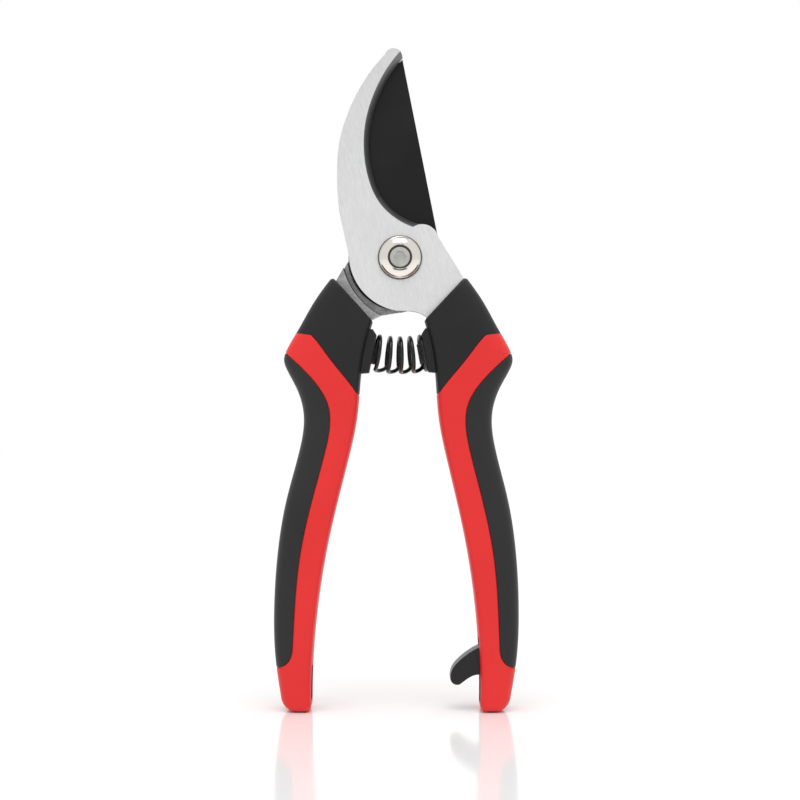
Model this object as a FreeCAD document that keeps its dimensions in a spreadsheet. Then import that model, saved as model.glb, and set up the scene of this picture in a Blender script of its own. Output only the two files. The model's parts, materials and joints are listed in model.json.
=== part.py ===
import FreeCAD, Part
import Sketcher
import math
import os
import re

# Bypass pruning shears standing upright on the ends of their handles.
# +Z runs up from the handle ends to the tip of the hook, +X to the right, and the
# front (the hook side) faces -Y.  The origin is on the floor, in the middle of the
# shears' width and depth.  Outlines are drawn about the pivot: x across and y up.
# A depth is a distance towards the front from the plane between blade and hook.

Vector = FreeCAD.Vector
ACROSS = Vector(0, 1, 0)

DIMENSIONS = {
    # Stance.
    "pivot_height": 143.8,
    "pivot_shift": 1.1,
    "plane_shift": -1.75,
    "left_splay_angle": 0.85,
    "left_offset": 0.6,
    # Steel plates.
    "hook_thickness": 3.5,
    "blade_thickness": 3.0,
    "face_gap": 0.05,
    "web_thickness": 3.5,
    "ledge_drop": 1.2,
    "shoulder_drop": 0.3,
    "bevel_width": 1.7,
    "bevel_depth": 2.4,
    # Pivot.
    "shank_radius": 4.0,
    "bore_clearance": 0.02,
    "running_clearance": 0.05,
    "bush_radius": 5.5,
    "washer_radius": 8.5,
    "washer_thickness": 0.8,
    "head_flats": 13.0,
    "head_height": 3.2,
    "cap_radius": 7.0,
    "cap_height": 3.6,
    "cap_bore_radius": 3.6,
    "stud_radius": 3.1,
    "stud_recess": 0.4,
    "socket_flats": 3.6,
    "socket_depth": 1.6,
    # Blade screws.
    "screw_radius": 2.0,
    "screw_recess": 0.3,
    "screw_head_radius": 3.4,
    "screw_head_height": 2.2,
    "screw_slot_width": 0.9,
    "screw_slot_depth": 0.9,
    # Handles.
    "handle_depth": 17.0,
    "handle_setback": 1.5,
    "edge_round": 3.0,
    "skin_thickness": 2.0,
    "tang_thickness": 5.0,
    "pin_radius": 2.0,
    "pin_length": 10.5,
    "seat_depth": 12.6,
    "left_seat_reach": 0.35,
    "peg_radius": 3.2,
    "peg_height": 2.2,
    # Coil spring.
    "wire_radius": 0.78,
    "coil_radius": 5.3,
    "coil_pitch": 2.9,
    "coil_length": 11.6,
    "coil_drop": 30.5,
    # Catch, its slot and the keeper's slot.
    "slot_width": 10.0,
    "catch_width": 8.8,
    "catch_sheet": 1.2,
    "catch_pin_radius": 1.5,
    "cross_pin_length": 14.6,
    "catch_washer_radius": 3.0,
    "catch_washer_thickness": 0.45,
    "keeper_radius": 1.25,
}

document = FreeCAD.newDocument("PruningShears")
sheet = document.addObject("Spreadsheet::Sheet", "Dimensions")
for row, (alias, value) in enumerate(DIMENSIONS.items(), 1):
    sheet.set(f"A{row}", alias)
    sheet.set(f"B{row}", str(value))
    sheet.setAlias(f"B{row}", alias)
document.recompute()


def size(alias):
    """The number in the spreadsheet cell called alias."""
    return float(sheet.get(alias))


def bind(item, name, expression):
    """Bind a property to an expression in which every word is an alias."""
    item.setExpression(name, re.sub(r"[a-z_]+", lambda word: f"Dimensions.{word[0]}", expression))


PIVOT = Vector(size("pivot_shift"), size("plane_shift"), size("pivot_height"))

# Depths of the layers, written as expressions.
HOOK_FRONT = "hook_thickness"
CAP_FRONT = "(hook_thickness + cap_height)"
STUD_FRONT = f"({CAP_FRONT} - stud_recess)"
BLADE_FRONT = "-face_gap"
BLADE_BACK = "-(face_gap + blade_thickness)"
WEB_BACK = "-(face_gap + blade_thickness + web_thickness)"
WASHER_FRONT = f"({WEB_BACK} - running_clearance)"
WASHER_BACK = f"({WASHER_FRONT} - washer_thickness)"
BOLT_BACK = f"({WASHER_BACK} - head_height)"
SCREW_BACK = f"({WEB_BACK} - screw_head_height)"
LEDGE_FRONT = "-ledge_drop"
SHOULDER_FRONT = "(hook_thickness - shoulder_drop)"
HANDLE_FRONT = "(handle_depth / 2 - handle_setback)"
HANDLE_BACK = "-(handle_depth / 2 + handle_setback)"


def middle_layer(width):
    """Back and front of a layer of some width in the middle of a handle."""
    return f"-(({width}) / 2 + handle_setback)", f"(({width}) / 2 - handle_setback)"


# ------------------------------------------------------------------ drawing
class Outline:
    """A closed outline of lines, arcs and smooth curves, drawn end to end."""

    def __init__(self, start):
        self.start = self.at = Vector(*start, 0)
        self.pieces = []

    def line(self, *points):
        for point in points:
            end = Vector(*point, 0)
            self.pieces.append(Part.LineSegment(self.at, end))
            self.at = end
        return self

    def arc(self, via, end):
        end = Vector(*end, 0)
        self.pieces.append(Part.Arc(self.at, Vector(*via, 0), end))
        self.at = end
        return self

    def curve(self, *points):
        knots = [self.at] + [Vector(*point, 0) for point in points]
        spline = Part.BSplineCurve()
        spline.interpolate(knots)
        self.pieces.append(spline)
        self.at = knots[-1]
        return self

    def closed(self):
        """The pieces, with a last line back to the start where one is missing."""
        if (self.at - self.start).Length > 1e-6:
            self.line((self.start.x, self.start.y))
        return self.pieces


def polygon(points):
    return Outline(points[0]).line(*points[1:])


def on_circle(radius, angle):
    """The point of a circle about the pivot at an angle in degrees."""
    turn = math.radians(angle)
    return (radius * math.cos(turn), radius * math.sin(turn))


def hexagon(flats):
    """A regular hexagon about the pivot, given its width across flats."""
    return polygon([on_circle(flats / math.sqrt(3), 60 * corner) for corner in range(6)])


def handed(points, side):
    """The points as drawn for the right side (1), or mirrored for the left (-1)."""
    return [(side * x, y) for x, y in points]


# ----------------------------------------------------------------- features
def new_body(label):
    body = document.addObject("PartDesign::Body", label)
    body.Label = label
    return body


def new_sketch(body, label, plane, depth):
    """A sketch on one of the body's own planes, moved along that plane's normal."""
    sketch = body.newObject("Sketcher::SketchObject", f"{label}_sketch")
    origin = [item for item in body.Origin.OriginFeatures if item.Role == plane][0]
    sketch.AttachmentSupport = [(origin, "")]
    sketch.MapMode = "FlatFace"
    bind(sketch, "AttachmentOffset.Base.z", depth)
    return sketch


def drawn(body, label, outline, depth):
    """A sketch of an outline at a depth."""
    sketch = new_sketch(body, label, "XZ_Plane", depth)
    sketch.addGeometry(outline.closed(), False)
    return sketch


def ringed(body, label, centre, radii, depth):
    """A sketch of one or more circles round a centre, each radius an expression."""
    sketch = new_sketch(body, label, "XZ_Plane", depth)
    for number, radius in enumerate(radii):
        sketch.addGeometry(Part.Circle(Vector(*centre, 0), Vector(0, 0, 1), 1.0 + number), False)
        sketch.addConstraint(Sketcher.Constraint("Radius", number, 1.0 + number))
        bind(sketch, f"Constraints[{number}]", radius)
    return sketch


def pad(body, label, sketch, back, front):
    """Turn a sketch at the back depth into a plate that reaches the front depth."""
    plate = body.newObject("PartDesign::Pad", label)
    plate.Profile = sketch
    bind(plate, "Length", f"({front}) - ({back})")
    document.recompute()
    return plate


def pocket(body, label, sketch, back, front):
    """Cut a sketch at the front depth out of the body as far as the back depth."""
    before = body.Shape.Volume
    cut = body.newObject("PartDesign::Pocket", label)
    cut.Profile = sketch
    bind(cut, "Length", f"({front}) - ({back})")
    document.recompute()
    if body.Shape.Volume > before - 0.01:
        raise RuntimeError(f"{label} cuts nothing")
    return cut


def plate(body, label, outline, back, front):
    return pad(body, label, drawn(body, label, outline, back), back, front)


def ring(body, label, centre, radii, back, front):
    return pad(body, label, ringed(body, label, centre, radii, back), back, front)


def bore(body, label, centre, radius, back, front):
    return pocket(body, label, ringed(body, label, centre, [radius], front), back, front)


def dress(body, kind, label, base, edges, settings):
    """Put a fillet or a chamfer on named edges of a feature."""
    dressed = body.newObject(f"PartDesign::{kind}", label)
    dressed.Base = (base, edges)
    if len(settings) > 1:
        dressed.ChamferType = "Two distances"
    for name, expression in settings.items():
        bind(dressed, name, expression)
    document.recompute()
    return dressed


def edge_through(shape, x, depth, z):
    """Name of the edge of a shape that passes through a point."""
    point = Part.Vertex(Vector(x, -depth, z))
    return [f"Edge{n}" for n, edge in enumerate(shape.Edges, 1) if edge.distToShape(point)[0] < 1e-3]


def rim_edges(shape, ceiling):
    """Names of a plate's front and back edges, except those that lie above a ceiling."""
    faces = (shape.BoundBox.YMin, shape.BoundBox.YMax)
    names = []
    for number, edge in enumerate(shape.Edges, 1):
        box = edge.BoundBox
        in_face = box.YLength < 1e-4 and any(abs(box.YMin - face) < 1e-4 for face in faces)
        if in_face and box.ZMin < ceiling:
            names.append(f"Edge{number}")
    return names


def raise_to_pivot(item):
    """Move an item that was drawn about the pivot to the pivot's place."""
    bind(item, "Placement.Base.x", "pivot_shift")
    bind(item, "Placement.Base.y", "plane_shift")
    bind(item, "Placement.Base.z", "pivot_height")


# --------------------------------------------------------------- hook blade
# The tang narrows inside the collar and runs down the middle of the handle.
TANG_OUTER = [(23.2, -16.5), (25.8, -26.0), (26.0, -36.0), (24.8, -47.0), (25.4, -60.0), (28.2, -74.0)]
TANG_INNER = [(18.4, -62.0), (16.2, -48.0), (15.2, -36.0), (13.4, -25.5), (9.9, -17.6)]
TANG_PINS = {"upper": (20.6, -30.0), "lower": (22.4, -64.0)}
HOOK_BACK = [(-17.4, 6.2), (-19.1, 14.0), (-19.9, 25.0), (-19.2, 36.5), (-16.1, 46.7), (-10.8, 56.8)]
HOOK_BACK += [(-4.7, 64.4)]
HOOK_HOLLOW = [(-2.6, 59.2), (-6.6, 51.6), (-9.2, 43.0), (-9.8, 35.5), (-8.6, 26.4), (-5.4, 18.8)]
HOOK_HOLLOW += [(0.6, 13.2)]


def build_hook_blade():
    """The fixed counter blade: hook, ground bevel, round heel and tang in one plate."""
    body = new_body("hook_blade")
    outline = (
        Outline((-16.2, 0.4))
        .curve(*HOOK_BACK)
        .arc((-1.6, 66.3), (0.8, 63.6))
        .curve(*HOOK_HOLLOW, (7.4, 10.6))
        .arc((10.5, 9.3), (12.2, 6.3))
        .line((20.2, -6.6), (18.8, -8.0))
        .curve(*TANG_OUTER)
        .arc((26.2, -77.6), (22.6, -77.0))
        .curve(*TANG_INNER)
        .line((8.5, -19.0))
        .curve((6.0, -17.5), (2.8, -16.9), (-1.2, -16.8))
        .arc((-11.3, -11.3), (-16.2, 0.4))
    )
    blank = plate(body, "hook_plate", outline, "0", HOOK_FRONT)
    hollow_edge = edge_through(blank.Shape, HOOK_HOLLOW[3][0], size("hook_thickness"), HOOK_HOLLOW[3][1])
    bevel_sizes = {"Size": "bevel_depth", "Size2": "bevel_width"}
    dress(body, "Chamfer", "hook_bevel", blank, hollow_edge, bevel_sizes)
    bore(body, "hook_bore", (0, 0), "shank_radius + bore_clearance", "0", HOOK_FRONT)
    for name, centre in TANG_PINS.items():
        bore(body, f"hook_{name}_pin_bore", centre, "pin_radius + bore_clearance", "0", HOOK_FRONT)
    raise_to_pivot(body)
    return body


# ------------------------------------------------------------ cutting blade
BLADE_TIP = (0.8, 63.3)
BLADE_EDGE = [(-16.2, 2.4), (-15.2, 17.0), (-14.8, 26.5), (-13.7, 36.0), (-10.9, 45.2), (-5.9, 54.4)]
SCREWS = {"upper": (-10.4, 15.2), "lower": (-9.6, -9.2)}


def build_cutting_blade():
    """The coated blade: straight back, bellied cutting edge and round heel."""
    body = new_body("cutting_blade")
    outline = (
        Outline(BLADE_TIP)
        .line((12.1, 6.6))
        .arc((10.4, -12.7), (-4.0, -15.9))
        .arc((-14.2, -8.2), BLADE_EDGE[0])
        .curve(*BLADE_EDGE[1:], BLADE_TIP)
    )
    plate(body, "blade_plate", outline, BLADE_BACK, BLADE_FRONT)
    bore(body, "blade_bore", (0, 0), "bush_radius + bore_clearance", BLADE_BACK, BLADE_FRONT)
    for name, centre in SCREWS.items():
        bore(body, f"blade_{name}_bore", centre, "screw_radius + bore_clearance", BLADE_BACK, BLADE_FRONT)
    raise_to_pivot(body)
    return body


# ------------------------------------------------------------ blade carrier
# A forging in three steps: a web behind the blade, a ledge round the blade's
# heel, and a raised shoulder outside the hook that runs down into the handle.
CARRIER_TOP = (-16.1, -0.2)
CARRIER_OUTER = (-20.3, -7.4)
CARRIER_INNER = (-9.1, -19.6)
CARRIER_BOTTOM = (-6.0, -18.0)
TONGUE = [(-15.0, 8.0), (-14.2, 17.0), (-9.6, 21.0), (-2.0, 17.0), (8.4, 10.4), (12.0, 0.0)]
TONGUE += [(8.2, -12.6), (-0.9, -17.2)]
LEDGE_RADIUS = 16.7
CARRIER_TANG_OUTER = [(-23.9, -16.5), (-26.7, -26.0), (-27.1, -36.0), (-25.9, -47.0)]
CARRIER_TANG_OUTER += [(-26.7, -60.0), (-29.6, -74.0)]
CARRIER_TANG_INNER = [(-19.6, -62.0), (-17.2, -48.0), (-16.2, -36.0), (-14.6, -25.5), (-10.9, -17.6)]
CARRIER_PINS = {"upper": (-21.6, -30.0), "lower": (-23.6, -64.0)}
TANG_BACK, TANG_FRONT = middle_layer("tang_thickness")
TANG_BORE = middle_layer("pin_length")


def build_blade_carrier():
    body = new_body("blade_carrier")
    web = Outline(CARRIER_TOP).curve(*TONGUE).line(CARRIER_BOTTOM, CARRIER_INNER, CARRIER_OUTER)
    plate(body, "carrier_web", web, WEB_BACK, BLADE_BACK)
    ledge = (
        Outline(on_circle(LEDGE_RADIUS, 184))
        .line(CARRIER_OUTER, CARRIER_INNER, CARRIER_BOTTOM, on_circle(LEDGE_RADIUS, 263))
        .arc(on_circle(LEDGE_RADIUS, 223), on_circle(LEDGE_RADIUS, 184))
    )
    plate(body, "carrier_ledge", ledge, BLADE_BACK, LEDGE_FRONT)
    shoulder = (
        Outline((-17.9, -3.2))
        .line(CARRIER_OUTER, CARRIER_INNER, (-6.2, -18.1))
        .arc((-13.1, -12.5), (-17.9, -3.2))
    )
    plate(body, "carrier_shoulder", shoulder, LEDGE_FRONT, SHOULDER_FRONT)
    tang = (
        Outline((-19.2, -8.6))
        .curve(*CARRIER_TANG_OUTER)
        .arc((-27.4, -77.6), (-24.0, -77.0))
        .curve(*CARRIER_TANG_INNER)
    )
    plate(body, "carrier_tang", tang, TANG_BACK, TANG_FRONT)
    bore(body, "carrier_bore", (0, 0), "bush_radius + bore_clearance", WEB_BACK, BLADE_BACK)
    for name, centre in SCREWS.items():
        screw_fit = "screw_radius + bore_clearance"
        bore(body, f"carrier_{name}_screw_bore", centre, screw_fit, WEB_BACK, BLADE_BACK)
    for name, centre in CARRIER_PINS.items():
        bore(body, f"carrier_{name}_pin_bore", centre, "pin_radius + bore_clearance", TANG_BACK, TANG_FRONT)
    raise_to_pivot(body)
    return body


# -------------------------------------------------------------------- pivot
def build_cap_nut():
    """A low domed nut with a groove round the end of the bolt."""
    body = new_body("pivot_cap_nut")
    back = -size("hook_thickness")
    front = back - size("cap_height")
    rim = size("cap_radius")
    thread = size("stud_radius") + size("bore_clearance")
    groove = size("cap_bore_radius")
    outline = (
        Outline((back, thread))
        .line((back, rim - 0.3), (back - 0.3, rim), (back - 0.9, rim))
        .arc((back - 2.6, 0.84 * rim), (front, groove + 0.3))
        .line((front + 0.25, groove), (front + 1.0, groove), (front + 1.0, thread))
    )
    sketch = new_sketch(body, "cap_profile", "YZ_Plane", "0")
    sketch.addGeometry(outline.closed(), False)
    dome = body.newObject("PartDesign::Revolution", "cap_dome")
    dome.Profile = sketch
    dome.ReferenceAxis = (sketch, ["H_Axis"])
    dome.Angle = 360
    raise_to_pivot(body)
    document.recompute()
    return body


def build_pivot_bolt():
    """A bolt put in from behind: hexagon head, plain shank, and a socket in its end."""
    body = new_body("pivot_bolt")
    plate(body, "bolt_head", hexagon(size("head_flats")), BOLT_BACK, WASHER_BACK)
    ring(body, "bolt_shank", (0, 0), ["shank_radius"], WASHER_BACK, HOOK_FRONT)
    ring(body, "bolt_thread", (0, 0), ["stud_radius"], HOOK_FRONT, STUD_FRONT)
    socket = drawn(body, "bolt_socket", hexagon(size("socket_flats")), STUD_FRONT)
    pocket(body, "bolt_socket", socket, f"{STUD_FRONT} - socket_depth", STUD_FRONT)
    raise_to_pivot(body)
    return body


def build_pivot_rings():
    """A washer under the bolt's head, and the bush that the blade turns on."""
    washer = new_body("pivot_washer")
    washer_radii = ["washer_radius", "shank_radius + bore_clearance"]
    ring(washer, "washer_ring", (0, 0), washer_radii, WASHER_BACK, WASHER_FRONT)
    bush = new_body("pivot_bush")
    bush_radii = ["bush_radius", "shank_radius + running_clearance"]
    ring(bush, "bush_ring", (0, 0), bush_radii, WEB_BACK, BLADE_FRONT)
    for body in (washer, bush):
        raise_to_pivot(body)
    return [washer, bush]


def build_blade_screw(name, centre):
    """A slotted screw that holds the blade to the carrier from behind."""
    body = new_body(f"blade_screw_{name}")
    ring(body, f"{name}_screw_head", centre, ["screw_head_radius"], SCREW_BACK, WEB_BACK)
    ring(body, f"{name}_screw_shank", centre, ["screw_radius"], WEB_BACK, f"{BLADE_FRONT} - screw_recess")
    x, y = centre
    reach = size("screw_head_radius") + 1
    half = size("screw_slot_width") / 2
    low, high = y - half, y + half
    slot = polygon([(x - reach, low), (x + reach, low), (x + reach, high), (x - reach, high)])
    slot_floor = f"{SCREW_BACK} + screw_slot_depth"
    slot_sketch = drawn(body, f"{name}_screw_slot", slot, slot_floor)
    pocket(body, f"{name}_screw_slot", slot_sketch, SCREW_BACK, slot_floor)
    raise_to_pivot(body)
    return body


# ------------------------------------------------------------------ handles
# Both handles are drawn for the right side and mirrored for the left one.
COLLAR_OUTER = (20.9, -5.85)
COLLAR_INNER = (7.8, -19.8)
HANDLE_OUTER = [
    (26.3, -13.5),
    (31.4, -22.7),
    (34.7, -28.6),
    (35.85, -32.5),
    (34.7, -35.9),
    (31.5, -41.9),
    (29.3, -50.0),
    (30.35, -60.5),
    (34.35, -76.7),
    (37.1, -95.7),
    (37.8, -111.5),
    (37.1, -127.3),
    (35.2, -139.2),
]
HANDLE_INNER = [(25.4, -132.0), (24.5, -116.0), (20.75, -89.4), (15.0, -64.1), (12.3, -50.0)]
HANDLE_INNER += [(11.4, -38.0), (9.8, -27.0)]
FOOT_OUTER = (31.0, -143.8)
FOOT_INNER = (27.4, -143.8)
TOE = (33.8, -142.3)
HEEL = (25.986, -143.214)
HEEL_TOP = (25.4, -141.8)

# The collar ends on a slanting line; the grip covers the outer side below it.
COLLAR_LINE = [(28.6, -23.5), (22.0, -30.8), (13.6, -41.0), (9.0, -46.8)]
GRIP_LINE = [(28.8, -36.1), (24.3, -41.2), (21.4, -46.6), (20.7, -52.5), (21.9, -60.5), (25.3, -74.1)]
GRIP_LINE += [(29.5, -94.3), (31.1, -114.7), (31.4, -122.8), (31.8, -126.0), (33.1, -128.2)]
GRIP_LINE += [(36.4, -129.8), (44.0, -131.8)]

# Slots through the inner walls over the feet: the right one holds the catch, and its
# claw goes into the left one.  Each is given by its bottom and its top.
SLOTS = {1: (-141.4, -120.6), -1: (-140.4, -129.4)}
SLOT_ACROSS = (20.0, 33.6)
SLOT_BACK = middle_layer("slot_width")[0]
CROSS_PIN = middle_layer("cross_pin_length")


def handle_outline(side):
    """The whole handle: outer edge, foot, inner edge and the collar's sloping top."""
    toe, outer_foot, inner_foot = handed([TOE, FOOT_OUTER, FOOT_INNER], side)
    heel, heel_top = handed([HEEL, HEEL_TOP], side)
    return (
        Outline(handed([COLLAR_OUTER], side)[0])
        .curve(*handed(HANDLE_OUTER, side))
        .arc(toe, outer_foot)
        .line(inner_foot)
        .arc(heel, heel_top)
        .curve(*handed([*HANDLE_INNER, COLLAR_INNER], side))
    )


def neck_outline(side):
    """The core where it is covered: the handle's outline drawn in by the skin."""
    skin = size("skin_thickness")
    top_outer = (COLLAR_OUTER[0] - 0.6, COLLAR_OUTER[1] - 4.6)
    down = [(x - skin, y) for x, y in HANDLE_OUTER]
    up = [(x + skin, y) for x, y in HANDLE_INNER]
    top_inner = (COLLAR_INNER[0] + 3.2, COLLAR_INNER[1] - 1.0)
    outline = Outline(handed([top_outer], side)[0]).curve(*handed(down, side))
    outline.line(*handed([(up[0][0], down[-1][1]), up[0]], side))
    return outline.curve(*handed([*up[1:], top_inner], side))


def collar_zone(side):
    """Everything above the collar's lower line."""
    outside, far, top = handed([(44.0, -22.2), (44.0, 2.0), (0.0, 2.0)], side)
    line = handed(COLLAR_LINE, side)
    corner = (0.0, line[-1][1])
    return Outline(outside).line(line[0]).curve(*line[1:]).line(corner, top, far)


def grip_zone(side):
    """Everything outside the grip's inner line."""
    start, *line = handed([(38.0, -28.1), *GRIP_LINE], side)
    bottom, top = handed([(50.0, GRIP_LINE[-1][1]), (50.0, -28.1)], side)
    return Outline(start).curve(*line).line(bottom, top)


def slot_outline(side):
    """The slot over a foot, as a rectangle."""
    (near, far), (bottom, top) = SLOT_ACROSS, SLOTS[side]
    return polygon(handed([(near, top), (far, top), (far, bottom), (near, bottom)], side))


def put_on_side(item, side):
    """Stand a handle piece under the pivot, the left one swung out and set on the floor."""
    if side > 0:
        raise_to_pivot(item)
        return
    splay = size("left_splay_angle")
    turn = math.radians(splay)
    foot_drop = FOOT_INNER[0] * math.sin(turn) + FOOT_INNER[1] * math.cos(turn)
    base = Vector(size("pivot_shift") - size("left_offset"), size("plane_shift"), -foot_drop)
    item.Placement = FreeCAD.Placement(base, FreeCAD.Rotation(ACROSS, splay))


def rounded_block(label, outline, layer, radius):
    """A plate with rounded front and back edges, left sharp along the collar's top."""
    body = new_body(label)
    block = plate(body, f"{label}_plate", outline, *layer)
    edges = rim_edges(block.Shape, COLLAR_INNER[1] - 1)
    dress(body, "Fillet", f"{label}_rounds", block, edges, {"Radius": radius})
    return body


def block(label, outline, layer):
    body = new_body(label)
    plate(body, f"{label}_plate", outline, *layer)
    return body


def combined(kind, label, first, *others):
    """First joined with, cut by or met with each of the others in turn."""
    result = first
    for number, other in enumerate(others, 1):
        name = label if number == len(others) else f"{label}_{number}"
        step = document.addObject(f"Part::{kind}", name)
        step.Base = result
        step.Tool = other
        result = step
    result.Label = label
    return result


def build_handle(name, side, tang, tang_pins, cross_pin, cross_radius):
    """A handle's core, collar and grip, cut from one blank, and its spring seat."""
    through = ("-handle_depth", "handle_depth")
    blank = rounded_block(f"{name}_blank", handle_outline(side), (HANDLE_BACK, HANDLE_FRONT), "edge_round")
    neck = block(f"{name}_neck", neck_outline(side), middle_layer("handle_depth - 2 * skin_thickness"))
    collar_part = block(f"{name}_collar_zone", collar_zone(side), through)
    grip_part = block(f"{name}_grip_zone", grip_zone(side), through)
    slot = block(f"{name}_slot", slot_outline(side), middle_layer("slot_width"))
    cross_bore = new_body(f"{name}_cross_bore")
    ring(cross_bore, f"{name}_cross_bore_hole", handed([cross_pin], side)[0], [cross_radius], *CROSS_PIN)
    seat_blank = build_seat_blank(name, side)
    for item in (blank, neck, collar_part, grip_part, slot, cross_bore, seat_blank):
        put_on_side(item, side)
    bare = combined("Cut", f"{name}_bare", blank, collar_part, grip_part)
    whole_core = combined("Fuse", f"{name}_whole_core", bare, neck)
    core = combined("Cut", f"{name}_core", whole_core, slot, cross_bore, tang, *tang_pins)
    collar_blank = combined("Common", f"{name}_collar_blank", blank, collar_part)
    collar = combined("Cut", f"{name}_collar", collar_blank, neck, tang)
    grip_blank = combined("Common", f"{name}_grip_blank", blank, grip_part)
    grip = combined("Cut", f"{name}_grip", grip_blank, neck)
    seat = combined("Cut", f"{name}_spring_seat", seat_blank, blank)
    document.recompute()
    return [core, collar, grip, seat]


def build_tang_pins(name, centres):
    """Two hidden pins that fasten a tang inside its handle."""
    pins = []
    for place, centre in centres.items():
        body = new_body(f"{name}_tang_pin_{place}")
        ring(body, f"{name}_{place}_tang_pin", centre, ["pin_radius"], *TANG_BORE)
        raise_to_pivot(body)
        pins.append(body)
    return pins


# -------------------------------------------------------------- coil spring
# The left handle stands farther out, so its seat reaches farther in.
SEAT_TOP = (6.9, -24.1)
SEAT_BOTTOM = (9.1, -36.2)


def build_seat_blank(name, side):
    """A seat block with a peg for the end of the spring, running on into the collar."""
    body = new_body(f"{name}_seat_blank")
    reach = 0 if side > 0 else size("left_seat_reach")
    top, bottom, shoulder = handed([(x - reach, y) for x, y in (SEAT_TOP, SEAT_BOTTOM, (8.0, -22.4))], side)
    roots = handed([(13.0, -36.6), (13.0, -22.4)], side)
    plate(body, f"{name}_seat_plate", polygon([shoulder, top, bottom, *roots]), *middle_layer("seat_depth"))
    middle = Vector((top[0] + bottom[0]) / 2, size("handle_setback"), (top[1] + bottom[1]) / 2)
    away = Vector(top[1] - bottom[1], 0, bottom[0] - top[0]) * -side
    peg = body.newObject("PartDesign::AdditiveCylinder", f"{name}_seat_peg")
    bind(peg, "Radius", "peg_radius")
    bind(peg, "Height", "peg_height")
    peg.Placement = FreeCAD.Placement(middle, FreeCAD.Rotation(Vector(0, 0, 1), away))
    document.recompute()
    return body


def build_coil_spring():
    """The return spring: a wire wound round a level axis between the two seats."""
    helix = document.addObject("Part::Helix", "coil_path")
    bind(helix, "Radius", "coil_radius")
    bind(helix, "Pitch", "coil_pitch")
    bind(helix, "Height", "coil_length")
    wire = document.addObject("Part::Circle", "wire_section")
    bind(wire, "Radius", "wire_radius")
    wire_start = Vector(size("coil_radius"), 0, 0)
    wire.Placement = FreeCAD.Placement(wire_start, FreeCAD.Rotation(Vector(1, 0, 0), 90))
    coil = document.addObject("Part::Sweep", "coil_spring")
    coil.Sections = [wire]
    coil.Spine = (helix, ["Edge1"])
    coil.Solid = True
    coil.Frenet = True
    level = FreeCAD.Rotation(ACROSS, 90)
    start = Vector(-size("coil_length") / 2, size("handle_setback"), -size("coil_drop"))
    coil.Placement = FreeCAD.Placement(start + PIVOT, level)
    document.recompute()
    return coil


# -------------------------------------------------------------------- catch
# A folded sheet channel, open below, that swings on a pin in the right handle.
CATCH_PIN = (28.8, -128.2)
KEEPER_PIN = (27.6, -133.6)
CATCH_BACK = [(16.6, -130.5), (18.8, -127.8), (21.8, -125.4), (25.1, -123.5)]
CATCH_CLAW = [(25.4, -132.2), (23.2, -132.5), (21.2, -133.6), (18.9, -135.3)]
CATCH_HOLLOW = [(16.9, -132.9), (18.0, -131.0), (20.1, -128.8), (23.0, -126.7), (25.6, -124.9)]
CATCH_HOLLOW += [(35.0, -124.9), (35.0, -139.0), (13.0, -139.0), (13.0, -132.9)]


def build_catch():
    """The lever, its pin and a spring washer that keeps it where it is put."""
    lever = new_body("catch_lever")
    outline = (
        Outline((16.0, -132.6))
        .curve(*CATCH_BACK)
        .arc((33.0, -127.4), (29.6, -132.4))
        .line(CATCH_CLAW[0])
        .curve(*CATCH_CLAW[1:])
        .arc((17.2, -135.2), (16.0, -132.6))
    )
    back, front = middle_layer("catch_width")
    plate(lever, "catch_channel", outline, back, front)
    inner_back, inner_front = middle_layer("catch_width - 2 * catch_sheet")
    hollow = drawn(lever, "catch_hollow", polygon(CATCH_HOLLOW), inner_front)
    pocket(lever, "catch_hollow", hollow, inner_back, inner_front)
    bore(lever, "catch_bore", CATCH_PIN, "catch_pin_radius + running_clearance", back, front)
    pin = new_body("catch_pin")
    ring(pin, "catch_pin_shank", CATCH_PIN, ["catch_pin_radius"], *CROSS_PIN)
    washer = new_body("catch_washer")
    washer_radii = ["catch_washer_radius", "catch_pin_radius + running_clearance"]
    washer_front = f"{SLOT_BACK} + catch_washer_thickness"
    ring(washer, "catch_washer_ring", CATCH_PIN, washer_radii, SLOT_BACK, washer_front)
    for body in (lever, pin, washer):
        raise_to_pivot(body)
    return [lever, pin, washer]


def build_keeper():
    """The pin across the left handle's slot that the catch hooks on."""
    body = new_body("keeper_pin")
    ring(body, "keeper_shank", handed([KEEPER_PIN], -1)[0], ["keeper_radius"], *CROSS_PIN)
    put_on_side(body, -1)
    return body


hook_blade = build_hook_blade()
blade_carrier = build_blade_carrier()
pieces = [hook_blade, build_cutting_blade(), blade_carrier, build_cap_nut(), build_pivot_bolt()]
pieces += build_pivot_rings()
pieces += [build_blade_screw(name, centre) for name, centre in SCREWS.items()]
right_pins = build_tang_pins("right", TANG_PINS)
left_pins = build_tang_pins("left", CARRIER_PINS)
pieces += right_pins + left_pins
pieces += build_handle("right", 1, hook_blade, right_pins, CATCH_PIN, "catch_pin_radius + bore_clearance")
pieces += build_handle("left", -1, blade_carrier, left_pins, KEEPER_PIN, "keeper_radius + bore_clearance")
pieces += [build_coil_spring(), build_keeper()]
pieces += build_catch()

document.recompute()
for item in document.Objects:
    if "Invalid" in item.State or "Error" in item.State:
        raise RuntimeError(f"{item.Name} did not compute")
for piece in pieces:
    if piece.Shape.isNull() or not piece.Shape.isValid() or len(piece.Shape.Solids) != 1:
        raise RuntimeError(f"{piece.Label} is not one valid solid")

os.makedirs("parts", exist_ok=True)
for piece in pieces:
    piece.Shape.exportStep(f"parts/{piece.Label}.step")
print(f"{len(pieces)} pieces written")
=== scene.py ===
"""Bypass pruning shears standing open in a plain studio.

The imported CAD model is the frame.  The handles, the coil spring and the cutting blade
are built here as closed numpy surfaces, the other pieces are the CAD nodes, and every
piece gets a finish of its own.  Outlines are drawn about the pivot in millimetres:
x across, y up, and depth towards the front.
"""

from __future__ import annotations

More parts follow.
